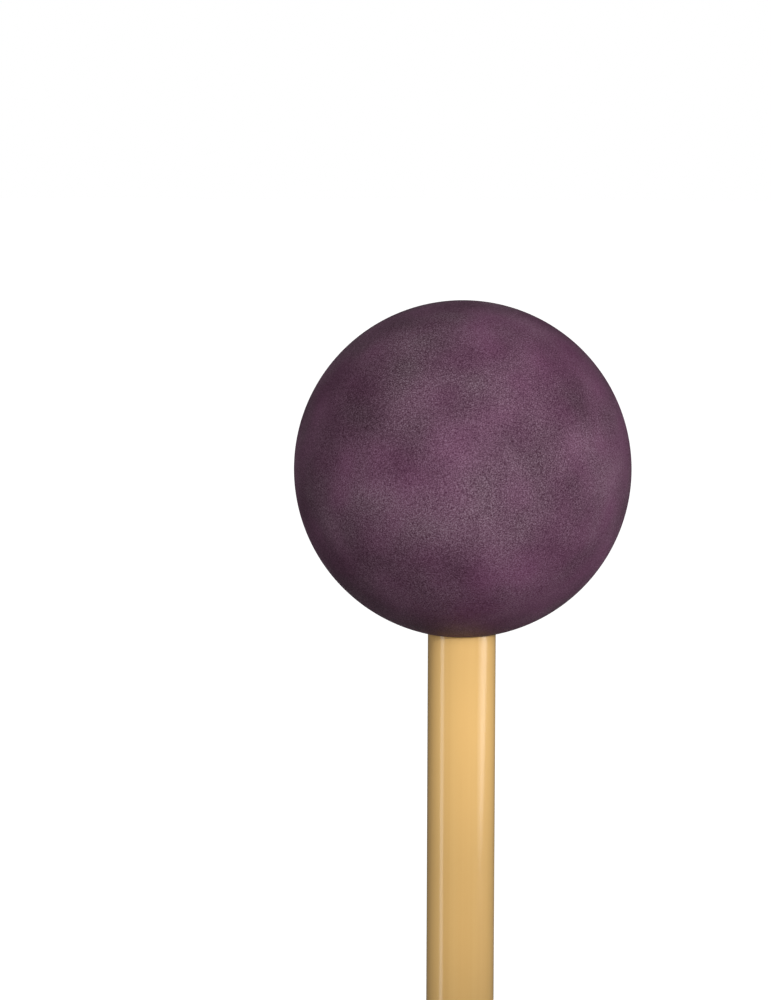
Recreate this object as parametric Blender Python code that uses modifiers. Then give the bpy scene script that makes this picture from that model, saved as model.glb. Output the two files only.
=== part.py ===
"""Marimba mallet: a moulded rubber ball glued on the end of a lacquered rattan cane.

The mallet stands upright, head up, and +Z runs along the cane from the butt to the head. The origin is
the fulcrum of the player's grip, on the cane's axis. Three pieces come apart on a bench:

  rubber_ball   a solid ball with a blind bore moulded up from its underside
  rattan_shaft  a natural cane with two nodes, a sanded round butt, and a skinned spigot for the glue
  glue_film     the cured adhesive, a thin cup between the spigot and the bore

Every piece is a turned shape, so each one is a profile in metres, written from the top of its outer
side down and back up its inner side, and a Screw modifier turns it round +Z.
"""

import math

import bpy

MM = 0.001

# Driving dimensions
HEAD_DIAMETER = 35.0 * MM
SHAFT_DIAMETER = 7.05 * MM
OVERALL_LENGTH = 400.0 * MM
GRIP_HEIGHT = 130.0 * MM  # from the butt's flat up to the fulcrum of the grip

# The bond between the ball and the cane
BORE_DEPTH = 23.5 * MM  # from the bore's mouth to its blind end
MOUTH_ROUNDING = 0.2 * MM
BORE_END_ROUNDING = 0.6 * MM
SEATED_SKIN = 1.5 * MM  # full-size cane that enters the mouth before the spigot begins
SKIN_THICKNESS = 0.275 * MM  # sanded off the spigot, because glue doesn't hold on the cane's skin
GLUE_AT_END = 0.4 * MM
CLEARANCE = 0.05 * MM  # kept between neighbouring surfaces
TIP_CHAMFER = 0.5 * MM

# The butt end, sanded round by hand
BUTT_FLAT_RADIUS = 2.18 * MM
SHOULDER_HEIGHT = 1.7 * MM
SHOULDER_POWER = 1.5  # 1 would be a straight chamfer and 2 an ellipse

# The cane's natural thickness: its radius at heights above the butt, against half the nominal diameter
CANE_STATIONS = (
    (0.0 * MM, 0.010 * MM),
    (59.0 * MM, -0.085 * MM),
    (96.0 * MM, -0.020 * MM),
    (190.0 * MM, -0.075 * MM),
    (283.0 * MM, 0.030 * MM),
    (339.0 * MM, 0.0),
    (400.0 * MM, 0.0),
)
NODE_HEIGHTS = (96.0 * MM, 283.0 * MM)  # the joints between the cane's growth segments
NODE_SWELL = 0.14 * MM
NODE_SWELL_REACH = 4.5 * MM
SCAR_DEPTH = 0.09 * MM
SCAR_REACH = 0.45 * MM
SCAR_SLANT = 0.13  # the leaf scar lies askew: its rise for each metre across the cane
SCAR_SLANT_REACH = 5.0 * MM

# How finely the round shapes are divided
BALL_STEPS = 64
BALL_ARC_STEPS = 32
CANE_STEPS = 48
CANE_SPACING = 18.0 * MM
ROUNDING_STEPS = 4
SHOULDER_STEPS = 8

HEAD_RADIUS = HEAD_DIAMETER / 2
CANE_RADIUS = SHAFT_DIAMETER / 2
BORE_RADIUS = CANE_RADIUS + CLEARANCE
SPIGOT_RADIUS = CANE_RADIUS - SKIN_THICKNESS

# Heights above the butt's flat
HEAD_CENTRE = OVERALL_LENGTH - HEAD_RADIUS
MOUTH_RADIUS = BORE_RADIUS + MOUTH_ROUNDING
MOUTH_HEIGHT = HEAD_CENTRE - math.sqrt(HEAD_RADIUS**2 - MOUTH_RADIUS**2)
BORE_END = MOUTH_HEIGHT + BORE_DEPTH
GLUE_TOP = BORE_END - CLEARANCE
SHAFT_TOP = GLUE_TOP - GLUE_AT_END - CLEARANCE
SPIGOT_START = MOUTH_HEIGHT + SEATED_SKIN


def clear_scene():
    """Removes whatever the file opened with."""
    for thing in list(bpy.data.objects):
        bpy.data.objects.remove(thing, do_unlink=True)


def make_collection(name):
    """A collection of that name in the scene, which holds the parts."""
    collection = bpy.data.collections.new(name)
    bpy.context.scene.collection.children.link(collection)
    return collection


def make_material(name, colour, roughness, coat=0.0):
    """A Principled material of one colour, given as linear red, green and blue."""
    material = bpy.data.materials.new(name)
    material.use_nodes = True
    shader = material.node_tree.nodes["Principled BSDF"]
    shader.inputs["Base Color"].default_value = (*colour, 1.0)
    shader.inputs["Roughness"].default_value = roughness
    shader.inputs["Metallic"].default_value = 0.0
    shader.inputs["Coat Weight"].default_value = coat
    material.diffuse_color = (*colour, 1.0)
    return material


def arc(centre_radius, centre_height, reach, start, end, steps):
    """Points along a circular arc in the profile's plane. Angles are in degrees from outwards, turning up."""
    angles = [math.radians(start + (end - start) * i / steps) for i in range(steps + 1)]
    return [(centre_radius + reach * math.cos(a), centre_height + reach * math.sin(a)) for a in angles]


def blend(fraction):
    """Rises smoothly from 0 to 1 as fraction does, level at both ends."""
    return fraction * fraction * (3 - 2 * fraction)


def hump(distance, reach):
    """A bell curve: 1 at no distance, and nearly nothing past twice the reach."""
    return math.exp(-((distance / reach) ** 2))


def cane_radius(height):
    """The cane's radius at a height above the butt: its natural taper, its swollen nodes and their scars."""
    radius = CANE_RADIUS
    for (low, low_change), (high, high_change) in zip(CANE_STATIONS, CANE_STATIONS[1:]):
        if low <= height <= high:
            share = blend((height - low) / (high - low))
            radius = CANE_RADIUS + low_change + (high_change - low_change) * share
            break
    for node in NODE_HEIGHTS:
        radius += NODE_SWELL * hump(height - node, NODE_SWELL_REACH)
        radius -= SCAR_DEPTH * hump(height - node, SCAR_REACH)
    return radius


def cane_heights(low, high):
    """Heights from high down to low at which the cane gets a ring of points: close together at each node."""
    near_node = (-11, -8, -6, -4, -2.5, -1.2, -0.6, 0, 0.6, 1.2, 2.5, 4, 6, 8, 11)
    heights = {node + offset * MM for node in NODE_HEIGHTS for offset in near_node}
    spans = max(1, round((high - low) / CANE_SPACING))
    clear_of_nodes = near_node[-1] * MM + CANE_SPACING / 4
    for i in range(spans + 1):
        height = low + (high - low) * i / spans
        if all(abs(height - node) > clear_of_nodes for node in NODE_HEIGHTS):
            heights.add(height)
    return sorted(heights, reverse=True)


def ball_profile():
    """From the top of the ball down its outside, round the mouth and up the bore, about the ball's centre."""
    mouth_angle = math.degrees(math.asin((MOUTH_HEIGHT - HEAD_CENTRE) / HEAD_RADIUS))
    outside = arc(0, 0, HEAD_RADIUS, 90, mouth_angle, BALL_ARC_STEPS)
    outside[0] = (0.0, HEAD_RADIUS)
    mouth_turn = MOUTH_HEIGHT + MOUTH_ROUNDING - HEAD_CENTRE
    mouth = arc(MOUTH_RADIUS, mouth_turn, MOUTH_ROUNDING, 270, 180, ROUNDING_STEPS)
    end = BORE_END - HEAD_CENTRE
    inner = BORE_RADIUS - BORE_END_ROUNDING
    bore_end = arc(inner, end - BORE_END_ROUNDING, BORE_END_ROUNDING, 0, 90, ROUNDING_STEPS)
    return outside + mouth[1:] + bore_end + [(0.0, end)]


def glue_profile():
    """From the top of the glue down its outside, then up its inside to the cane's tip, above the spigot's start."""
    outer = BORE_RADIUS - CLEARANCE
    inner = SPIGOT_RADIUS + CLEARANCE
    top = GLUE_TOP - SPIGOT_START
    bottom = 2 * CLEARANCE
    ceiling = top - GLUE_AT_END
    outer_turn = arc(
        outer - BORE_END_ROUNDING, top - BORE_END_ROUNDING, BORE_END_ROUNDING, 90, 0, ROUNDING_STEPS
    )
    return [
        (0.0, top),
        *outer_turn,
        (outer, bottom),
        (inner, bottom),
        (inner, ceiling - TIP_CHAMFER),
        (inner - TIP_CHAMFER, ceiling),
        (0.0, ceiling),
    ]


def shoulder_points():
    """The sanded shoulder, from the full cane down to the rim of the butt's flat: a superellipse."""
    full = cane_radius(SHOULDER_HEIGHT)
    width = full - BUTT_FLAT_RADIUS
    points = []
    for i in range(SHOULDER_STEPS + 1):
        turn = math.pi / 2 * i / SHOULDER_STEPS
        across = max(0.0, math.cos(turn)) ** (2 / SHOULDER_POWER)
        down = math.sin(turn) ** (2 / SHOULDER_POWER)
        points.append((BUTT_FLAT_RADIUS + width * across, SHOULDER_HEIGHT * (1 - down)))
    return points


def shaft_profile():
    """From the tip inside the ball down the spigot and the cane to the middle of the butt's flat."""
    step_radius = cane_radius(SPIGOT_START)
    step_height = step_radius - SPIGOT_RADIUS
    spigot = [
        (0.0, SHAFT_TOP),
        (SPIGOT_RADIUS - TIP_CHAMFER, SHAFT_TOP),
        (SPIGOT_RADIUS, SHAFT_TOP - TIP_CHAMFER),
        (SPIGOT_RADIUS, SPIGOT_START),
    ]
    cane = [(cane_radius(h), h) for h in cane_heights(SHOULDER_HEIGHT, SPIGOT_START - step_height)]
    return spigot + cane[:-1] + shoulder_points() + [(0.0, 0.0)]


def turned(name, profile, steps, collection):
    """The mesh object that a profile of (radius, height) sweeps out when it turns once round +Z."""
    mesh = bpy.data.meshes.new(name + "_profile")
    points = [(radius, 0.0, height) for radius, height in profile]
    mesh.from_pydata(points, [(i, i + 1) for i in range(len(points) - 1)], [])
    blank = bpy.data.objects.new(name + "_blank", mesh)
    collection.objects.link(blank)
    screw = blank.modifiers.new("turn", "SCREW")
    screw.axis = "Z"
    screw.steps = steps
    screw.render_steps = steps
    screw.use_merge_vertices = True
    screw.merge_threshold = 0.00001
    graph = bpy.context.evaluated_depsgraph_get()
    turned_mesh = bpy.data.meshes.new_from_object(blank.evaluated_get(graph))
    bpy.data.objects.remove(blank)
    bpy.data.meshes.remove(mesh)
    turned_mesh.name = name
    made = bpy.data.objects.new(name, turned_mesh)
    collection.objects.link(made)
    return made


def finish(made, material, height, parent):
    """Gives a piece its material and shading, and stands it at its height above the butt."""
    made.data.materials.append(material)
    made.data.shade_smooth()
    made.data.set_sharp_from_angle(angle=math.radians(35))
    made.parent = parent
    made.location = (0.0, 0.0, height)


def slant_scars(shaft):
    """Tips the rings of points at each node, so that the leaf scar lies askew round the cane."""
    for index, node in enumerate(NODE_HEIGHTS):
        lean = SCAR_SLANT if index % 2 == 0 else -SCAR_SLANT
        for vertex in shaft.data.vertices:
            share = hump(vertex.co.z - node, SCAR_SLANT_REACH)
            if share > 0.001:
                vertex.co.z += lean * share * vertex.co.x


def make_mallet():
    """Builds the three pieces under one empty at the butt's flat, which stands GRIP_HEIGHT below the origin."""
    clear_scene()
    collection = make_collection("marimba_mallet")
    rubber = make_material("plum_rubber", (0.162, 0.082, 0.127), 0.75)
    rattan = make_material("lacquered_rattan", (0.72, 0.46, 0.18), 0.3, coat=0.6)
    adhesive = make_material("amber_glue", (0.55, 0.36, 0.12), 0.25)

    butt = bpy.data.objects.new("butt_end", None)
    butt.empty_display_size = SHAFT_DIAMETER
    butt.location = (0.0, 0.0, -GRIP_HEIGHT)
    collection.objects.link(butt)

    ball = turned("rubber_ball", ball_profile(), BALL_STEPS, collection)
    finish(ball, rubber, HEAD_CENTRE, butt)

    shaft = turned("rattan_shaft", shaft_profile(), CANE_STEPS, collection)
    slant_scars(shaft)
    finish(shaft, rattan, 0.0, butt)

    glue = turned("glue_film", glue_profile(), CANE_STEPS, collection)
    finish(glue, adhesive, SPIGOT_START, butt)
    return ball, shaft, glue


make_mallet()
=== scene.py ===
# %% [markdown]
# # A marimba mallet
#
# A mallet is a ball of moulded rubber, a length of rattan cane, and the glue between them. The frame that
# is loaded here holds those three as plain solids at their real size. This script dresses them: it makes a
# finer surface for the ball and for the cane, and gives each its finish. Lengths are in metres, +Z runs up
# the cane to the head, and the origin is where a player's fingers hold it.

# %% The frame
import math

import bpy
import numpy as np
from mathutils import Matrix, Quaternion, Vector


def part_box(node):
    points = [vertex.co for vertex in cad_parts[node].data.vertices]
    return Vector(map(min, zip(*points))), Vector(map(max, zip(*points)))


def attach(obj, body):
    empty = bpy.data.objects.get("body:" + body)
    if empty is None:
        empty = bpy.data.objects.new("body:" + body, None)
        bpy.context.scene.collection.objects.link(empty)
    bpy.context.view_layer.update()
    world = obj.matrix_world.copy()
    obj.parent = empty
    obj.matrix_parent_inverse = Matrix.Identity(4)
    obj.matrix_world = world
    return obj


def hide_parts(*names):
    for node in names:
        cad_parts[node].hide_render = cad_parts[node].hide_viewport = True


MM = 0.001

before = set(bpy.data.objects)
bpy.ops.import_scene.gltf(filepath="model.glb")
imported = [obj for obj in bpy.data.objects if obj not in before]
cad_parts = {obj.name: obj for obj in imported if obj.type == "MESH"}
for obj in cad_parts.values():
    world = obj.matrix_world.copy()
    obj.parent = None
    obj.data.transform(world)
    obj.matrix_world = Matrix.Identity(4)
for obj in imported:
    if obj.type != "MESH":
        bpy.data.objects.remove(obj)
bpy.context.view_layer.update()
ball_low, ball_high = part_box("rubber_ball")
cane_low, cane_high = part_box("rattan_shaft")
glue_low, glue_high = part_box("glue_film")

BALL_RADIUS = round((ball_high.x - ball_low.x) / 2, 4)  # rounded, as the solid's facets cut a little off
BALL_CENTRE = ball_high.z - BALL_RADIUS
BUTT = cane_low.z
TIP = cane_high.z
print("the ball's radius is", BALL_RADIUS, "and its centre", round(BALL_CENTRE, 4))
print("the cane goes from", round(BUTT, 4), "to", round(TIP, 4))

# %% [markdown]
# ## The camera
#
# The photograph looks at the head from a little above, with a long lens, so that its edges hardly converge.
# A sphere's outline gives everything that the camera needs: how wide it is in the picture sets the distance,
# and where its middle lies sets how far the camera stands to the side. The cane leans a fifth of a degree
# in the picture, which a roll of the camera matches. Moving the camera sideways is better here than
# shifting its lens, because a shift would stay in every other view.

# %% The camera
PICTURE_HEIGHT = 1000
PICTURE_CENTRE = (385.5, 500.0)
BALL_PIXEL = (462.7, 469.0)
BALL_PIXEL_RADIUS = 168.9
LENS = 200.0
SENSOR = 36.0
CAMERA_ELEVATION = math.radians(7)
CAMERA_ROLL = math.radians(0.21)


def make_camera():
    """A camera in front of the head, placed so that the ball's outline falls where the photograph has it."""
    pixels_per_tangent = PICTURE_HEIGHT * LENS / SENSOR
    distance = BALL_RADIUS / math.sin(math.atan(BALL_PIXEL_RADIUS / pixels_per_tangent))
    back = Vector((0, -math.cos(CAMERA_ELEVATION), math.sin(CAMERA_ELEVATION)))
    level_right = Vector((1, 0, 0))
    level_up = back.cross(level_right)
    right = level_right * math.cos(CAMERA_ROLL) + level_up * math.sin(CAMERA_ROLL)
    up = back.cross(right)
    per_pixel = distance / pixels_per_tangent
    aside = (BALL_PIXEL[0] - PICTURE_CENTRE[0]) * per_pixel
    above = (PICTURE_CENTRE[1] - BALL_PIXEL[1]) * per_pixel
    data = bpy.data.cameras.new("long_lens")
    data.lens = LENS
    data.sensor_width = SENSOR
    camera = bpy.data.objects.new("camera", data)
    bpy.context.scene.collection.objects.link(camera)
    place = Vector((0, 0, BALL_CENTRE)) + back * distance - right * aside - up * above
    turn = Matrix((right, up, back)).transposed().to_4x4()
    camera.matrix_world = Matrix.Translation(place) @ turn
    bpy.context.scene.camera = camera
    print("the camera is", round(distance, 3), "m from the ball")


make_camera()

# %% [markdown]
# ## Shader arithmetic
#
# A procedural finish is a sum: a base colour, plus clouds, less grain. Written as nodes it is hard to read,
# so one small class wraps a node's output and lets Python's own + and * add the nodes. Numbers go through
# Math nodes, and colours and points through Vector Math, because a Math node would turn a colour grey. Any
# other node comes from the `node` method, which sets the node's settings first and then fills its sockets.

# %% Shader arithmetic
NOISE_STRAY = 0.11  # how far a noise's value usually is from its middle, 0.5
COLOUR_FACTOR, COLOUR_A, COLOUR_B, COLOUR_OUT = 0, 6, 7, 2  # where a Mix node keeps its colour sockets


class Wire:
    """An output in a node tree. Arithmetic on it adds the nodes that work the result out."""

    def __init__(self, tree, socket=None):
        self.tree = tree
        self.socket = socket

    def node(self, kind, inputs=(), out=0, **settings):
        """Adds a node with its settings and with values or wires for its inputs, and gives an output."""
        made = self.tree.nodes.new(kind)
        for name, value in settings.items():
            setattr(made, name, value)
        for key, value in dict(inputs).items():
            if isinstance(value, Wire):
                self.tree.links.new(value.socket, made.inputs[key])
            else:
                made.inputs[key].default_value = value
        return Wire(self.tree, made.outputs[out] if made.outputs else None)

    def maths(self, operation, *operands):
        return self.node("ShaderNodeMath", dict(enumerate(operands)), operation=operation)

    def vectors(self, operation, *operands):
        return self.node("ShaderNodeVectorMath", dict(enumerate(operands)), operation=operation)

    def __add__(self, other):
        add = self.vectors if many(self) or many(other) else self.maths
        return add("ADD", self, other)

    def __sub__(self, other):
        return self.maths("SUBTRACT", self, other)

    def __rsub__(self, other):
        return self.maths("SUBTRACT", other, self)

    def __mul__(self, other):
        if many(self) and many(other):
            return self.vectors("MULTIPLY", self, other)
        if many(self) or many(other):
            colour, amount = (self, other) if many(self) else (other, self)
            return self.node("ShaderNodeVectorMath", {0: colour, "Scale": amount}, operation="SCALE")
        return self.maths("MULTIPLY", self, other)

    __radd__ = __add__
    __rmul__ = __mul__

    def noise(self, size, detail=2.0, roughness=0.5, start=(0, 0, 0)):
        """Noise about this point, whose features are `size` across. Another start, counted in features along
        x, y and z, takes another part of the same noise."""
        inputs = {"Vector": self + tuple(size * count for count in start), "Scale": 1 / size}
        return self.node("ShaderNodeTexNoise", {**inputs, "Detail": detail, "Roughness": roughness})

    def steps(self):
        """A noise as a number of steps from its middle. Two places in three have less than one."""
        return (self - 0.5) * (1 / NOISE_STRAY)

    def between(self, first, second):
        """The colour that lies this share of the way from the first to the second."""
        inputs = {COLOUR_FACTOR: self, COLOUR_A: as_colour(first), COLOUR_B: as_colour(second)}
        return self.node("ShaderNodeMix", inputs, out=COLOUR_OUT, data_type="RGBA")


def many(value):
    """Whether a value or a wire is a colour or a point, and not a single number."""
    return value.socket.type in ("VECTOR", "RGBA") if isinstance(value, Wire) else isinstance(value, tuple)


def as_colour(value):
    """A wire as it is, or three numbers with the alpha that a colour socket wants."""
    return value if isinstance(value, Wire) else (*value, 1.0)


print("one step of a noise is", NOISE_STRAY)

# %% [markdown]
# ## A finish
#
# Each material starts the same way: a Principled shader, whose even values are set on its own sockets, and
# the Object coordinates, from which every pattern here is measured. They stay put on the piece, so nothing
# slides when the camera or the mallet moves.

# %% A finish
class Finish:
    """A Principled material, with the point of the surface that its patterns are measured from."""

    def __init__(self, name, **even_values):
        self.material = bpy.data.materials.new(name)
        self.material.use_nodes = True
        self.tree = self.material.node_tree
        self.shader = self.tree.nodes["Principled BSDF"]
        for socket, value in even_values.items():
            self.shader.inputs[socket.replace("_", " ")].default_value = value
        self.start = Wire(self.tree)
        self.place = self.start.node("ShaderNodeTexCoord", out="Object")

    def value_of(self, attribute):
        """A number that the mesh carries at each of its points."""
        return self.start.node("ShaderNodeAttribute", out="Fac", attribute_name=attribute)

    def drive(self, socket, wire):
        self.tree.links.new(wire.socket, self.shader.inputs[socket])

    def bump(self, height, depth, strength=1.0):
        """Raises the surface by height, from 0 to 1, times depth."""
        inputs = {"Height": height, "Distance": depth, "Strength": strength}
        self.drive("Normal", self.start.node("ShaderNodeBump", inputs))

    def put_on(self, piece):
        piece.data.materials.clear()
        piece.data.materials.append(self.material)
        print(piece.name, "wears", self.material.name, "with", len(self.tree.nodes), "nodes")


# %% [markdown]
# ## The studio's lamps
#
# Each lamp is stated by how bright a white card would look that faces it where it is aimed, because that
# is a number one can judge. The key, the head light and the room together make a card at the head show
# about white, so a colour renders about as it is written.
#
# The key is a soft box in front, a little to the right. Its own image in the rubber is a faint sheen. The
# two round lamps are aimed at the head and fade out below it, because in the photograph the light on the
# cane also fades downwards. A box on the left and two on the right light the mallet less than the room
# does: they are there to be mirrored in the cane's lacquer, as a narrow pale stripe on its left and a
# broad one on its right. The broad one has a wide lamp, and a smaller one for its bright core. Both are
# wide ellipses that stand lower than the head and are tilted, so that the stripe leans and tapers away
# down the cane. The core's lamp stands 2 cm nearer, because lamps in one plane hide each other.
#
# A faint fill from behind on the left lifts the left edges of the ball and the cane. The last box stands
# straight behind the mallet, where it lights the far side and nothing that the front view sees. Neither is
# mirrored, or the rim of the ball, which mirrors what is behind it, would glow.

# %% The studio's lamps
LAMP_DISTANCE = 0.6


def stand_lamp(data, azimuth, elevation=0, distance=LAMP_DISTANCE, aim=BALL_CENTRE, tilt=0, mirrored=True):
    """Puts a lamp where it faces the height `aim` on the mallet's axis. Azimuth 0 is the camera's side, and
    it grows to the right. tilt turns the lamp about its own axis. A lamp that isn't mirrored lights a
    surface but doesn't show in its gloss."""
    lamp = bpy.data.objects.new(data.name, data)
    bpy.context.scene.collection.objects.link(lamp)
    turn, lift = math.radians(azimuth), math.radians(elevation)
    back = Vector((math.sin(turn) * math.cos(lift), -math.cos(turn) * math.cos(lift), math.sin(lift)))
    lamp.rotation_mode = "QUATERNION"
    lamp.rotation_quaternion = back.to_track_quat("Z", "Y") @ Quaternion((0, 0, 1), math.radians(tilt))
    lamp.location = Vector((0, 0, aim)) + back * distance
    lamp.visible_camera = False
    lamp.visible_glossy = mirrored
    print(data.name, "gives", round(data.energy, 2), "W")


def soft_box(name, size, card, distance=LAMP_DISTANCE, shape="RECTANGLE", **where):
    """A flat lamp, whose size is its width and height. card is how bright a white card looks that faces it
    at that distance, so its power is card times (pi distance)^2."""
    data = bpy.data.lights.new(name, "AREA")
    data.shape = shape
    data.size, data.size_y = size
    data.energy = card * (math.pi * distance) ** 2
    stand_lamp(data, distance=distance, **where)


def soft_spot(name, reach, radius, card, distance=LAMP_DISTANCE, **where):
    """A round lamp whose light dies away smoothly to nothing at `reach` from the point that it is aimed at.
    Its power spreads over a whole sphere, so it is card times (2 pi distance)^2."""
    data = bpy.data.lights.new(name, "SPOT")
    data.spot_size = 2 * math.atan(reach / distance)
    data.spot_blend = 1.0
    data.shadow_soft_size = radius
    data.energy = card * (2 * math.pi * distance) ** 2
    stand_lamp(data, distance=distance, mirrored=False, **where)


soft_box("key", size=(0.26, 0.26), card=0.52, azimuth=15.5, elevation=15)
soft_spot("head_light", reach=0.064, radius=0.025, card=0.38, azimuth=24, elevation=15)
soft_spot("head_side", reach=0.034, radius=0.025, card=0.045, azimuth=77)
soft_box("left_strip", size=(0.15, 0.5), card=0.17, azimuth=-67)
soft_box("left_fill", size=(0.3, 0.3), card=0.045, azimuth=-120, mirrored=False)
low_right = {"azimuth": 79, "aim": 0.150, "shape": "ELLIPSE"}
soft_box("right_strip", size=(0.50, 0.08), card=0.056, tilt=8, **low_right)
soft_box("right_core", size=(0.26, 0.066), card=0.030, tilt=12, distance=0.58, **low_right)
soft_box("back", size=(0.3, 0.3), card=0.60, distance=1.5, azimuth=180, elevation=-7, mirrored=False)

# %% [markdown]
# ## The room and the floor
#
# The background is white to the camera alone. To every other ray the room and the floor are dim, which
# keeps the underside of the ball dark and the edges of the cane rich. The floor glows more with distance,
# so that it is white where it is a background and still shows the mallet's shadow near the butt.
#
# On metal or glass the mirrored rays would have to see the white too. This object has neither, and in
# rubber and lacquer a white room would whiten every edge.

# %% The room
WHITE = (1.0, 1.0, 1.0, 1.0)
ROOM_BRIGHTNESS = 0.2


def by_ray(start, seen, unseen):
    """One shader for the camera's own rays, and another for every other ray."""
    from_camera = start.node("ShaderNodeLightPath", out="Is Camera Ray")
    return start.node("ShaderNodeMixShader", {0: from_camera, 1: unseen, 2: seen})


def make_room():
    """The world: white to the camera, and a dim grey to every other ray."""
    world = bpy.data.worlds.new("room")
    world.use_nodes = True
    world.node_tree.nodes.clear()
    bpy.context.scene.world = world
    start = Wire(world.node_tree)
    seen = start.node("ShaderNodeBackground", {"Color": WHITE, "Strength": 1.0})
    unseen = start.node("ShaderNodeBackground", {"Color": WHITE, "Strength": ROOM_BRIGHTNESS})
    start.node("ShaderNodeOutputWorld", {"Surface": by_ray(start, seen, unseen)})
    print("the room's brightness is", ROOM_BRIGHTNESS)


make_room()
bpy.context.scene.view_settings.view_transform = "Standard"

# %% The floor
FLOOR_SIDE = 12.0
FLOOR_SEEN = (0.8, 0.8, 0.8, 1.0)
FLOOR_UNSEEN = (0.3, 0.3, 0.3, 1.0)
GLOW_NEAR, GLOW_FAR = 0.6, 0.95
GLOW_STARTS, GLOW_ENDS = 0.3, 1.3  # metres from the mallet's axis


def floor_material():
    """For the camera a pale surface that also glows, more so with distance. To other rays it is dim."""
    material = bpy.data.materials.new("pale_floor")
    material.use_nodes = True
    material.node_tree.nodes.clear()
    start = Wire(material.node_tree)
    place = start.node("ShaderNodeTexCoord", out="Object")
    away = start.node("ShaderNodeVectorMath", {0: place}, out="Value", operation="LENGTH")
    stretch = {"Value": away, 1: GLOW_STARTS, 2: GLOW_ENDS, 3: GLOW_NEAR, 4: GLOW_FAR}
    glow = start.node("ShaderNodeMapRange", stretch, interpolation_type="SMOOTHSTEP")
    light = start.node("ShaderNodeEmission", {"Strength": glow})
    pale = start.node("ShaderNodeBsdfDiffuse", {"Color": FLOOR_SEEN})
    seen = start.node("ShaderNodeAddShader", {0: light, 1: pale})
    unseen = start.node("ShaderNodeBsdfDiffuse", {"Color": FLOOR_UNSEEN})
    start.node("ShaderNodeOutputMaterial", {"Surface": by_ray(start, seen, unseen)})
    return material


def make_floor():
    """A square under the butt."""
    half = FLOOR_SIDE / 2
    corners = [(-half, -half, BUTT), (half, -half, BUTT), (half, half, BUTT), (-half, half, BUTT)]
    mesh = bpy.data.meshes.new("floor")
    mesh.from_pydata(corners, [], [(0, 1, 2, 3)])
    mesh.materials.append(floor_material())
    floor = bpy.data.objects.new("floor", mesh)
    bpy.context.scene.collection.objects.link(floor)
    print("the floor is", FLOOR_SIDE, "m square, at", round(BUTT, 4))


make_floor()

# %% [markdown]
# ## Surfaces from rings
#
# Both pieces are turned: a profile goes round an axis. Here a profile is two arrays, radius and height, and
# a row of angles turns it into a grid of points with one line of numpy. A grid leaves room for what a lathe
# can't do, such as a scar that lies askew or pores in a sanded end, because any formula of angle and height
# can be added before the points become a mesh.

# %% Profiles
def arc(centre, reach, start, end, count):
    """(radii, heights) of count points along a circular arc, with its angles in degrees from outwards."""
    turn = np.radians(np.linspace(start, end, count))
    return centre[0] + reach * np.cos(turn), centre[1] + reach * np.sin(turn)


def past_first(stretch):
    """A stretch of profile without its first point, which the stretch or the pole before it already has."""
    return stretch[0][1:], stretch[1][1:]


def joined(*stretches):
    """(radii, heights) of several stretches of profile, one after another."""
    return np.concatenate([s[0] for s in stretches]), np.concatenate([s[1] for s in stretches])


def ring_grid(profile, columns):
    """(angles, radii, heights), each as rows x columns: every profile point repeated round a full turn."""
    radii, heights = profile
    angles = np.linspace(0, 2 * np.pi, columns, endpoint=False)
    spread = np.ones((len(radii), columns))
    return spread * angles, spread * np.asarray(radii)[:, None], spread * np.asarray(heights)[:, None]


# %% A mesh from rings
def grid_mesh(name, angles, radii, heights, first_pole, last_pole, sharp_angle, **values):
    """A closed mesh object. Each ring joins round and to the next, and a pole on the axis closes each end.
    Edges sharper than sharp_angle, in degrees, stay crisp. values are numbers for every grid point, kept on
    the mesh for its material to read."""
    rows, columns = radii.shape
    points = np.dstack([radii * np.cos(angles), radii * np.sin(angles), heights]).reshape(-1, 3)
    points = np.vstack([points, [0, 0, first_pole], [0, 0, last_pole]])
    index = np.arange(rows * columns).reshape(rows, columns)
    ahead = np.roll(index, -1, axis=1)
    quads = np.stack([index[:-1], index[1:], ahead[1:], ahead[:-1]], axis=-1).reshape(-1, 4)
    top = np.stack([np.full(columns, len(points) - 2), index[0], ahead[0]], axis=-1)
    bottom = np.stack([np.full(columns, len(points) - 1), ahead[-1], index[-1]], axis=-1)
    mesh = bpy.data.meshes.new(name)
    mesh.from_pydata(points.tolist(), [], quads.tolist() + top.tolist() + bottom.tolist())
    mesh.shade_smooth()
    mesh.set_sharp_from_angle(angle=math.radians(sharp_angle))
    for key, grid in values.items():
        attribute = mesh.attributes.new(key, "FLOAT", "POINT")
        ends = [grid[0].mean(), grid[-1].mean()]
        attribute.data.foreach_set("value", np.append(grid.ravel(), ends).astype(np.float32))
    made = bpy.data.objects.new(name, mesh)
    bpy.context.scene.collection.objects.link(made)
    print(name, "has", len(quads) * 2 + 2 * columns, "triangles")
    return made


# %% [markdown]
# ## The rubber ball
#
# The ball is moulded in one shot, with its bore, and ground clean, so it is a plain sphere that closes on
# the cane with a small rounded lip. A finer sphere than the frame's is worth making because its outline is
# the largest curve in the picture. The bore is kept, so that the piece is a real ball with a hole in it and
# not a shell: someone may cut it open.

# %% The rubber ball
CANE_RADIUS = 3.525 * MM
LIP_GAP = 0.015 * MM
LIP_ROUNDING = 0.18 * MM
LIP_LENGTH = 0.9 * MM
FLARE_END = 1.3 * LIP_LENGTH  # above the middle of the lip's rounding, where the bore is at its full width
BORE_RADIUS = 3.575 * MM
BORE_END_ROUNDING = 0.6 * MM
GLUE_GAP = 0.05 * MM
BORE_END = glue_high.z + GLUE_GAP
BALL_COLUMNS = 256
BALL_ROWS = 150
TRIM_ROWS = 8  # round the lip, and round the edge of the bore's blind end
BALL_SHARP_ANGLE = 50


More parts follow.
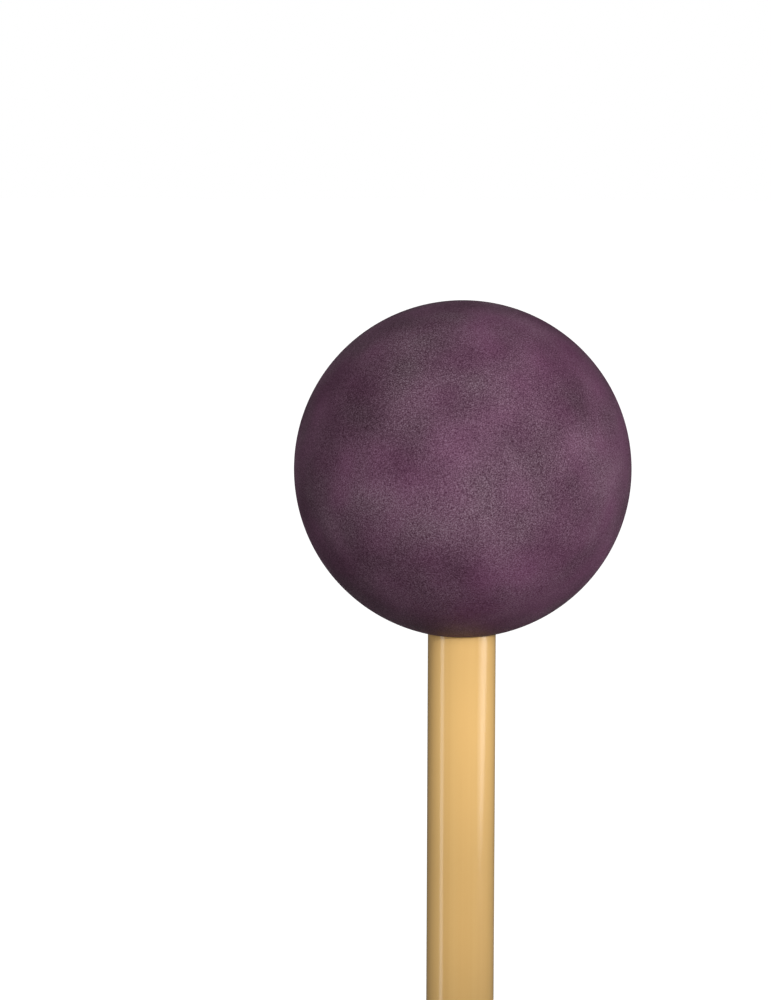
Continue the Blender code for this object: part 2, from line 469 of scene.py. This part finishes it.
def ball_profile():
    """From beside the top pole down the sphere, round the lip, up the bore and in along its blind end."""
    lip_radius = CANE_RADIUS + LIP_GAP
    lip_centre_radius = lip_radius + LIP_ROUNDING
    lip_centre_height = BALL_CENTRE - math.sqrt((BALL_RADIUS - LIP_ROUNDING) ** 2 - lip_centre_radius**2)
    last = math.degrees(math.atan2(lip_centre_height - BALL_CENTRE, lip_centre_radius))
    outside = arc((0, BALL_CENTRE), BALL_RADIUS, 90, last, BALL_ROWS + 1)
    lip = arc((lip_centre_radius, lip_centre_height), LIP_ROUNDING, last, -180, TRIM_ROWS)
    throat = ([lip_radius, BORE_RADIUS], [lip_centre_height + LIP_LENGTH, lip_centre_height + FLARE_END])
    inner = BORE_RADIUS - BORE_END_ROUNDING
    end = arc((inner, BORE_END - BORE_END_ROUNDING), BORE_END_ROUNDING, 0, 90, TRIM_ROWS)
    ceiling = ([inner / 2], [BORE_END])
    return joined(past_first(outside), past_first(lip), throat, end, ceiling)


ball_grid = ring_grid(ball_profile(), BALL_COLUMNS)
ball = grid_mesh("moulded_ball", *ball_grid, ball_high.z, BORE_END, BALL_SHARP_ANGLE)

# %% [markdown]
# ## The finish of the rubber
#
# Moulded rubber is matt and never of one colour: the mixing leaves soft clouds, and the mould's blasted
# wall leaves a grain of about a tenth of a millimetre. Three things vary, each on its own: how light the
# rubber is, which is called its tone here, whether it leans to grey or to plum, which is its tint, and the
# grain. A sum of noises gives more colours than a ramp between two, and each noise keeps its own size. Tone
# and tint have two noises each, for broad clouds and for a finer mottle on them. The grain goes into the
# bump as well as the colour, since its tiny slopes catch the lamp. In the colour its specks are partly the
# rubber's own speckle and partly painted light: pale specks for the lamp's glints on the grain and dark ones
# for the shade on its slopes.
#
# A noise may start anywhere. Of many starts that were tried, these were kept because with them the pale and
# dark clouds lie about as they do on the real ball.

# %% The finish of the rubber
PLUM = (0.119, 0.0515, 0.0905)
LIGHTER = (0.093, 0.120, 0.101)  # the share by which one step of tone changes each part of the plum
GREYER = (-0.021, 0.028, -0.014)  # the share for one step of tint
GRAIN_AND_GLINT_SHARES = (0.295, 0.415, 0.34)  # and for one step of grain: the rubber's speckle, with painted glints and shade of the grain

# Layers of clouds: how far across they are, how much finer detail they have, how strong they are in steps,
# and where in the noise they start.
TONE_CLOUDS = (
    (24.0 * MM, 0.0, 0.75, (1.2, 0.7, 2.0)),
    (7.0 * MM, 1.0, 1.45, (2.3, 7.1, 12.6)),
)
TINT_CLOUDS = (
    (18.0 * MM, 0.0, 0.80, (6.4, 7.2, 6.8)),
    (5.5 * MM, 1.0, 1.35, (6.4, 11.7, 19.2)),
)
CLOUD_ROUGHNESS = 0.6
GRAIN_SIZE = 0.13 * MM
GRAIN_PATCHES = 0.06  # how much stronger one step of tint makes the grain
GRAIN_DEPTH = 0.02 * MM
GRAIN_STRENGTH = 0.3
RUBBER_ROUGHNESS = 0.58
SMOOTHER = 0.01  # what one step of tone takes off the roughness


def clouds(place, layers):
    """The sum, in steps, of one noise for each layer."""
    total = 0
    for size, detail, strength, start in layers:
        total = total + place.noise(size, detail, CLOUD_ROUGHNESS, start).steps() * strength
    return total


def rubber_finish():
    """Plum, times e to the sum of three shares: as many steps lighter, greyer and grainier as the noises
    say. e^x is worked out as (1 + x/4)^4, which never turns negative, so dark and pale go equally far."""
    finish = Finish("plum_rubber", Specular_IOR_Level=0.13, Diffuse_Roughness=0.1)
    tone = clouds(finish.place, TONE_CLOUDS)
    tint = clouds(finish.place, TINT_CLOUDS)
    grain_and_glints = finish.place.noise(GRAIN_SIZE, detail=1.0, roughness=0.6)
    # Painted light: the specks stand for glints and shade on the grain as well as the rubber's own speckle.
    specks_and_glints = grain_and_glints.steps() * (1 + tint * GRAIN_PATCHES)
    change = tone * LIGHTER + tint * GREYER + specks_and_glints * GRAIN_AND_GLINT_SHARES
    fourth_root = change * (1 / 4) + (1.0, 1.0, 1.0)
    square_root = fourth_root * fourth_root
    finish.drive("Base Color", square_root * square_root * PLUM)
    finish.drive("Roughness", RUBBER_ROUGHNESS - tone * SMOOTHER)
    finish.bump(grain_and_glints, GRAIN_DEPTH, GRAIN_STRENGTH)
    return finish


rubber_finish().put_on(ball)

# %% [markdown]
# ## The cane
#
# Rattan is a climbing palm. Its stem is solid, nearly round, and the same thickness for metres, with a node
# every hand's breadth or two where a leaf's sheath once grew. Makers scrape the node down, which leaves a
# slight swelling and a fine scar that lies askew. The cane's radius is one formula of height and angle: a
# slow natural taper, a bell curve for each node, a narrow groove for its scar, and a few thousandths of a
# millimetre of waves round the stem, so that long reflections are not ruled lines.

# %% Curves
def eased(share):
    """0 below 0, 1 above 1, and an s-curve between them: 3 times the square less twice the cube."""
    share = np.clip(share, 0, 1)
    return share * share * (3 - 2 * share)


def inside(distance, softness):
    """1 well inside an edge, 0 well outside it, and an s-curve over the softness to either side of it."""
    return eased(0.5 + distance / (2 * softness))


def bell(distance, reach):
    """A bell curve, 1 at no distance: e to minus the square of distance over reach."""
    return np.exp(-((distance / reach) ** 2))


def smooth_steps(at, stations, values):
    """Values between stations, blended level at each of them: s-curves instead of straight lines."""
    span = np.clip(np.searchsorted(stations, at) - 1, 0, len(stations) - 2)
    share = eased((at - stations[span]) / (stations[span + 1] - stations[span]))
    return values[span] + (values[span + 1] - values[span]) * share


def waves(angles, rows, turn=0.0):
    """The sum of several sines round a turn. A row is how many to a turn, how high, and a phase."""
    return sum(size * np.sin(count * angles + phase + turn) for count, size, phase in rows)


print("an s-curve goes through", eased(np.array([0.0, 0.25, 0.5, 0.75, 1.0])))

# %% The stem
NODE_HEIGHTS = (96.0 * MM, 283.0 * MM)  # above the butt
NODE_SWELL = 0.14 * MM
NODE_SWELL_REACH = 4.5 * MM
SCAR_DEPTH = 0.07 * MM
SCAR_REACH = 0.22 * MM
SCAR_SLANT = 0.13  # how steep a scar's line is across the cane: its rise over its run
TAPER_HEIGHTS = np.array([0, 59, 96, 190, 283, 339, 400]) * MM
TAPER_CHANGES = np.array([0.010, -0.085, -0.020, -0.075, 0.030, 0, 0]) * MM
CANE_WAVES = ((2, 0.012 * MM, 0.0), (3, 0.006 * MM, 1.9), (7, 0.0035 * MM, 4.0), (11, 0.0025 * MM, 0.7))
WAVES_START, WAVES_GROW = 6 * MM, 20 * MM  # above the butt, and over what height
WAVE_TWIST, TWIST_SPAN = 2.1, 100 * MM  # radians that the waves turn, and over what height


def scar_line(angles, index):
    """How far a node's scar lies above its own height: a cosine of the angle, which lays it askew, to one
    side and the other by turns, as the leaves grew, and small waves, which leave it ragged."""
    lean = SCAR_SLANT if index % 2 == 0 else -SCAR_SLANT
    rags = ((3, 0.05 * MM, index), (7, 0.03 * MM, 2.0), (13, 0.02 * MM, 0.0))
    return lean * CANE_RADIUS * np.cos(angles) + waves(angles, rags)


def cane_surface(angles, heights):
    """(radius, scar) at angles and heights above the butt. The radius is the even cane's, the taper, the
    waves and a bell for each node, added up. scar is a much narrower bell, 1 in the middle of a scar."""
    radius = CANE_RADIUS + smooth_steps(heights, TAPER_HEIGHTS, TAPER_CHANGES)
    grown = np.clip((heights - WAVES_START) / WAVES_GROW, 0, 1)
    radius = radius + grown * waves(angles, CANE_WAVES, WAVE_TWIST * heights / TWIST_SPAN)
    scar = np.zeros_like(radius)
    for index, node in enumerate(NODE_HEIGHTS):
        away = heights - node - scar_line(angles, index)
        radius = radius + NODE_SWELL * bell(away, NODE_SWELL_REACH)
        scar = scar + bell(away, SCAR_REACH)
    return radius, scar


print("the nodes are", [round(node / MM) for node in NODE_HEIGHTS], "mm above the butt")

# %% [markdown]
# ## The sanded butt
#
# At the player's end the cane is cut square, and its rim is sanded round by hand. That takes the skin off,
# and the stem shows what it is: a pale pith shot through with hundreds of hollow threads that run along it.
# On the flat they are dots, and down the shoulder they are cut at a slant and show as short streaks. Both
# follow from one rule, that a pore's place depends only on how far it is across the cane and never on
# height. So the pores are points scattered over the cross-section, and each grid point asks how near the
# nearest one is. The sanding ends in a ragged edge, where the cut skin shows as a thin brown line that
# comes and goes.

# %% The shoulder
BUTT_FLAT_RADIUS = 2.18 * MM
SHOULDER_HEIGHT = 1.7 * MM
SHOULDER_POWER = 1.5  # 1 would be a straight chamfer and 2 a quarter of an ellipse
SHOULDER_ROWS = 52


def shoulder():
    """(radii, heights above the butt) from the full cane down to the rim of the flat: a superellipse."""
    turn = np.linspace(0, np.pi / 2, SHOULDER_ROWS)
    full = CANE_RADIUS + smooth_steps(np.array([SHOULDER_HEIGHT]), TAPER_HEIGHTS, TAPER_CHANGES)[0]
    across = np.clip(np.cos(turn), 0, 1) ** (2 / SHOULDER_POWER)
    down = np.sin(turn) ** (2 / SHOULDER_POWER)
    return BUTT_FLAT_RADIUS + (full - BUTT_FLAT_RADIUS) * across, SHOULDER_HEIGHT * (1 - down)


print("the shoulder starts", round(shoulder()[0][0] / MM, 3), "mm from the axis")

# %% The pores
PORE_PITCH = 0.24 * MM
PORE_ROW = math.sqrt(0.75)  # between the rows of a triangular lattice, in pitches
PORE_JITTER = 0.45
PORE_RADIUS = 0.055 * MM
PORE_SHARES = (0.5, 1.3)  # of that radius, from the smallest pore to the largest
PORE_SEED = 11
PORE_DEPTH = 0.025 * MM


def pore_field(x, y):
    """From 0 to 1 at each place across the cane: 1 in the middle of a pore. The pores lie on a triangular
    lattice, each moved by up to a share of its pitch, and each is of its own size."""
    reach = math.ceil(CANE_RADIUS / (PORE_PITCH * PORE_ROW))
    column, row = np.meshgrid(np.arange(-reach, reach + 1), np.arange(-reach, reach + 1))
    centres = np.stack([column + 0.5 * (row % 2), row * PORE_ROW], axis=-1).reshape(-1, 2)
    chance = np.random.default_rng(PORE_SEED)
    centres = (centres + chance.uniform(-PORE_JITTER, PORE_JITTER, centres.shape)) * PORE_PITCH
    centres = centres[np.hypot(*centres.T) < CANE_RADIUS + PORE_PITCH]
    sizes = PORE_RADIUS * chance.uniform(*PORE_SHARES, len(centres))
    away = np.hypot(x[..., None] - centres[:, 0], y[..., None] - centres[:, 1])
    print("the cane has", len(centres), "pores across")
    return bell(away, sizes).max(axis=-1)


# %% The edge of the sanding
SANDING_REACH = 1.55 * MM  # above the butt, where the skin starts
EDGE_RAGS = (
    (2, 0.03 * MM, 0.6),
    (5, 0.02 * MM, 2.2),
    (11, 0.018 * MM, 1.0),
    (23, 0.016 * MM, 4.0),
    (41, 0.016 * MM, 5.1),
)
EDGE_SOFTNESS = 0.05 * MM
WORN_REACH = 0.3 * MM  # how far the lacquer is rubbed thin above the sanding
CUT_SKIN_REACH = 0.09 * MM
CUT_SKIN_PATCHES = ((1, 0.16, 3.0), (3, 0.18, 0.4), (8, 0.16, 2.0))


def sanding(angles, heights):
    """(sanded, cut, worn) at angles and heights above the butt: 1 where the skin is off, 1 along its cut
    edge, and 1 where the lacquer is rubbed away."""
    edge = SANDING_REACH + waves(angles, EDGE_RAGS)
    cut = bell(heights - edge - EDGE_SOFTNESS, CUT_SKIN_REACH)
    patches = eased(0.5 + waves(angles, CUT_SKIN_PATCHES))
    sanded = inside(edge - heights, EDGE_SOFTNESS)
    worn = eased((edge + WORN_REACH - heights) / (2 * EDGE_SOFTNESS))
    return sanded, cut * patches, worn


print("the skin starts", round(SANDING_REACH / MM, 2), "mm above the butt")

# %% [markdown]
# ## Where the cane needs rings
#
# A ring costs two triangles for each of its columns, and most of the stem needs few: it hardly changes in
# centimetres. So the rings stand wide apart, and close together only where something happens: at each node,
# closer still at its scar, and from the shoulder down. Then the whole cane is one list of rings, from the
# tip in the head to the butt. The end in the head is skinned to a spigot, a little thinner than the cane,
# which leaves room for the glue, and its tip is chamfered.

# %% Where the cane needs rings
CANE_COLUMNS = 352
CANE_SPACING = 5.0 * MM
NODE_BAND, NODE_SPACING = 6.0 * MM, 0.75 * MM
SCAR_BAND, SCAR_SPACING = 1.0 * MM, 0.09 * MM
WORN_BAND, WORN_SPACING = 0.4 * MM, 0.04 * MM  # above the shoulder, where the lacquer is rubbed thin
LEAST_SPACING = 0.02 * MM
SPIGOT_RADIUS = 3.25 * MM
SPIGOT_BELOW_GLUE = 0.1 * MM
SPIGOT_START = glue_low.z - BUTT - SPIGOT_BELOW_GLUE


def stem_heights():
    """Heights above the butt, from where the spigot starts down to the butt's shoulder."""
    low, high = SHOULDER_HEIGHT, SPIGOT_START - (CANE_RADIUS - SPIGOT_RADIUS)
    heights = [np.linspace(low, high, round((high - low) / CANE_SPACING))]
    heights.append(np.arange(low, low + WORN_BAND, WORN_SPACING))
    for node in NODE_HEIGHTS:
        heights.append(node + np.arange(-NODE_BAND, NODE_BAND, NODE_SPACING))
        heights.append(node + np.arange(-SCAR_BAND, SCAR_BAND, SCAR_SPACING))
    heights = np.unique(np.concatenate(heights))
    keep = np.append(True, np.diff(heights) > LEAST_SPACING)
    return heights[keep][::-1]


print("the stem has", len(stem_heights()), "rings")

# %% Making the cane
SPIGOT_TIP = TIP - BUTT
TIP_CHAMFER = 0.5 * MM
FLAT_ROWS = 26
FLAT_LAST_RADIUS = 0.06 * MM
FLAT_FINISH_RADIUS = 2.08 * MM
FLAT_SOFTNESS = 0.1 * MM
CANE_SHARP_ANGLE = 35


def sunk(radii, heights, depth):
    """The surface moved inwards by depth, square to its profile, which runs down and in."""
    across, down = np.gradient(radii, axis=0), np.gradient(heights, axis=0)
    length = np.hypot(across, down)
    return radii + down / length * depth, heights - across / length * depth


def make_cane():
    """The whole cane as one closed surface: chamfered tip, skinned spigot, stem, sanded shoulder, flat."""
    inner = SPIGOT_RADIUS - TIP_CHAMFER
    spigot_radii = [inner / 2, inner, SPIGOT_RADIUS, SPIGOT_RADIUS]
    spigot_heights = [SPIGOT_TIP, SPIGOT_TIP, SPIGOT_TIP - TIP_CHAMFER, SPIGOT_START]
    stem = stem_heights()
    flat_radii = np.linspace(BUTT_FLAT_RADIUS, FLAT_LAST_RADIUS, FLAT_ROWS + 1)[1:]
    profile = joined(
        (spigot_radii, spigot_heights),
        (np.full(len(stem), CANE_RADIUS), stem),
        past_first(shoulder()),
        (flat_radii, np.zeros(FLAT_ROWS)),
    )
    angles, radii, heights = ring_grid(profile, CANE_COLUMNS)
    on_stem = slice(len(spigot_radii), len(spigot_radii) + len(stem))
    past_stem = slice(on_stem.stop, None)

    scar, pores = np.zeros_like(radii), np.zeros_like(radii)
    radii[on_stem], scar[on_stem] = cane_surface(angles[on_stem], heights[on_stem])
    x, y = radii[past_stem] * np.cos(angles[past_stem]), radii[past_stem] * np.sin(angles[past_stem])
    pores[past_stem] = pore_field(x, y)
    sanded, cut, worn = sanding(angles, heights)
    flat = inside(FLAT_FINISH_RADIUS - radii, FLAT_SOFTNESS) * sanded
    radii, heights = sunk(radii, heights, SCAR_DEPTH * scar + PORE_DEPTH * pores * sanded)
    looks = {"scar": scar, "sanded": sanded, "cut": cut, "worn": worn, "flat": flat, "pores": pores}
    return grid_mesh("rattan_cane", angles, radii, heights + BUTT, TIP, BUTT, CANE_SHARP_ANGLE, **looks)


cane = make_cane()

# %% [markdown]
# ## The finish of the cane
#
# Rattan's skin is hard, shiny and nearly without grain, so it needs no wood rings. What makes it look like
# cane and not plastic is small: threads that show faintly through the skin and run the whole length, a
# warmth that drifts every few centimetres, and the lacquer, which is a second, sharper reflection over the
# first. The drift is partly painted shade as well: near the head it is darker right under the ball, for the
# ball's shadow, and darker again further down, for the light fading down the cane. That second reflection
# is the shader's coat. It stops where the sanding starts, because the bare shoulder drinks it, and comes
# back weaker on the flat, where the open pores have taken in lacquer and turned a golden brown.

# %% The finish of the cane
HONEY, STRAW = (0.825, 0.505, 0.168), (0.885, 0.584, 0.228)
THREAD_STRETCH = (1.0, 1.0, 0.006)
THREAD_WIDTH = 0.8 * MM
THREAD_DEPTH = 0.004 * MM
DRIFT_AND_SHADE_STRETCH = (0.3, 0.3, 1.0)
DRIFT_AND_SHADE_SIZE = 28.0 * MM
DRIFT_AND_SHADE_START = (0.0, 0.0, 60.66)  # kept because the cane is then palest about where the real one is, a little below the head; darker right under the ball and further down, it is painted shade of the ball and of the light fading down the cane
DRIFT_AND_SHADE_SHARE = 0.06  # the share by which one step of the drift, painted shade included, lightens the skin
SCAR_BROWN, SCAR_STAIN = (0.30, 0.15, 0.05), 0.75
CUT_BROWN, CUT_STAIN = (0.50, 0.26, 0.08), 0.8
PITH_CREAM, PITH_TAN = (0.86, 0.68, 0.43), (0.60, 0.42, 0.22)
END_GOLD, END_BROWN = (0.90, 0.60, 0.24), (0.55, 0.35, 0.13)
DUST_STRETCH = (1.0, 1.0, 0.35)
DUST_SIZE = 0.14 * MM
DUST_SHADE = 0.10  # the share by which one step of dust lightens the pith
DUST_RELIEF = 4  # how many times as deep as the threads the dust is
SKIN_ROUGHNESS = 0.38
PITH_ROUGHER, FLAT_SMOOTHER = 0.45, 0.35
SKIN_LACQUER, FLAT_LACQUER = 0.85, 0.3


def cane_finish():
    """Skin on the stem, bare pith where it is sanded, and lacquered end grain on the flat."""
    finish = Finish("lacquered_rattan", Coat_Roughness=0.1, Specular_IOR_Level=0.2, Diffuse_Roughness=0.2)
    sanded, flat, pores = finish.value_of("sanded"), finish.value_of("flat"), finish.value_of("pores")
    threads = (finish.place * THREAD_STRETCH).noise(THREAD_WIDTH, detail=2.0)
    # The drift is partly the cane's own warmth and partly painted shade: darker right under the ball, as its
    # shadow, and further down, as the light fading down the cane.
    drift_and_shade = (finish.place * DRIFT_AND_SHADE_STRETCH).noise(DRIFT_AND_SHADE_SIZE, detail=1.0, start=DRIFT_AND_SHADE_START)
    skin = threads.between(HONEY, STRAW) * (1 + drift_and_shade.steps() * DRIFT_AND_SHADE_SHARE)
    skin = (finish.value_of("scar") * SCAR_STAIN).between(skin, SCAR_BROWN)
    skin = (finish.value_of("cut") * CUT_STAIN).between(skin, CUT_BROWN)
    dust = (finish.place * DUST_STRETCH).noise(DUST_SIZE, roughness=0.6)
    pith = pores.between(PITH_CREAM, PITH_TAN) * (1 + dust.steps() * DUST_SHADE)
    bare = flat.between(pith, pores.between(END_GOLD, END_BROWN))
    finish.drive("Base Color", sanded.between(skin, bare))
    finish.drive("Roughness", SKIN_ROUGHNESS + sanded * PITH_ROUGHER - flat * FLAT_SMOOTHER)
    lacquer = SKIN_LACQUER - finish.value_of("worn") * SKIN_LACQUER + flat * FLAT_LACQUER
    finish.drive("Coat Weight", lacquer)
    finish.bump(threads + sanded * dust * DUST_RELIEF, THREAD_DEPTH)
    return finish


cane_finish().put_on(cane)

# %% [markdown]
# ## The glue
#
# The cured glue is hidden inside the head, so it keeps the frame's own mesh and gets a finish that would
# hold up if the ball were cut open: amber, glossy, with faint streaks from being pushed in.

# %% The glue
GLUE_AMBER, GLUE_DARK = (0.55, 0.36, 0.12), (0.38, 0.22, 0.06)
STREAK_STRETCH = (1.0, 1.0, 0.3)
STREAK_WIDTH = 1.2 * MM
STREAK_DEPTH = 0.02 * MM
GLUE_ROUGHNESS, STREAK_ROUGHER = 0.18, 0.15


def glue_finish():
    """Streaks along the cane, darker and a little duller than the glue between them."""
    finish = Finish("amber_glue")
    streaks = (finish.place * STREAK_STRETCH).noise(STREAK_WIDTH, detail=3.0)
    finish.drive("Base Color", streaks.between(GLUE_AMBER, GLUE_DARK))
    finish.drive("Roughness", GLUE_ROUGHNESS + streaks * STREAK_ROUGHER)
    finish.bump(streaks, STREAK_DEPTH)
    return finish


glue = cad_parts["glue_film"]
glue_finish().put_on(glue)

# %% [markdown]
# ## What stands for what
#
# The two new pieces take the place of their plain solids and move with the mallet's only body. The glue
# is still the frame's own.

# %% What stands for what
for piece, node, slot in ((ball, "rubber_ball", "plum_rubber"), (cane, "rattan_shaft", "lacquered_rattan")):
    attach(piece, "root")
    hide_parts(node)
    print(piece.name, "stands for", node)
